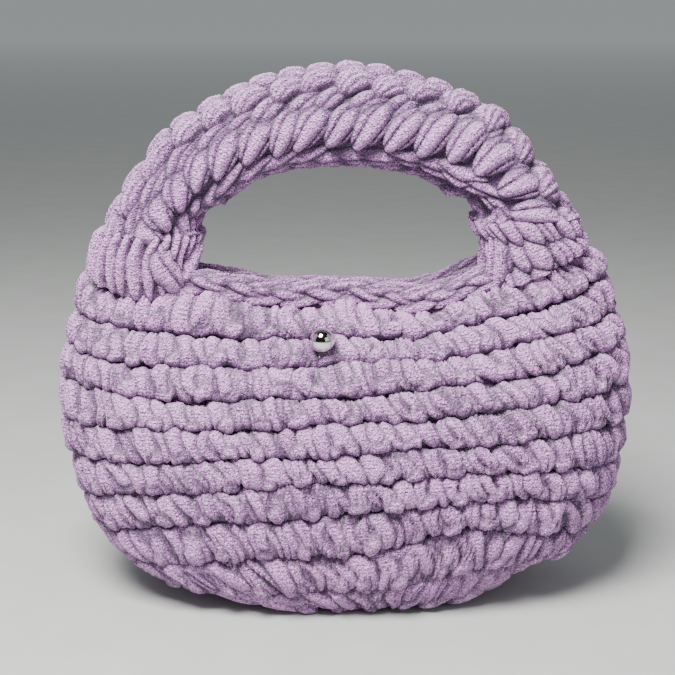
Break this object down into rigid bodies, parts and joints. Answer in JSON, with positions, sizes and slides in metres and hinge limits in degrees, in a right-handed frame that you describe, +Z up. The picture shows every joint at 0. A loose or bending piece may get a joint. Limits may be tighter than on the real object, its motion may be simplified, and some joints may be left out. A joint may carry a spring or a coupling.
{
  "type": "crochet handbag",
  "caption": "Soft oval handbag crocheted from thick lilac chenille yarn, with a padded arched handle and a polished metal ball stud on its front.",
  "frame": {"origin": "on the floor, under the middle of the bag's width and depth", "axes": "+X to the bag's right as its front is seen, along its width; the front with the stud faces -Y; +Z up"},
  "size_m": [0.2414, 0.0966, 0.2266],
  "materials": {
    "yarn": "fuzzy chenille yarn",
    "metal": "polished"
  },
  "bodies": {
    "root": {"base_oval": "yarn", "body_wall": "yarn", "handle_arch": "yarn", "rim_back": "yarn", "rim_front": "yarn", "root_left": "yarn", "root_right": "yarn", "snap_ball": "metal", "snap_post": "metal"}
  },
  "joints": []
}
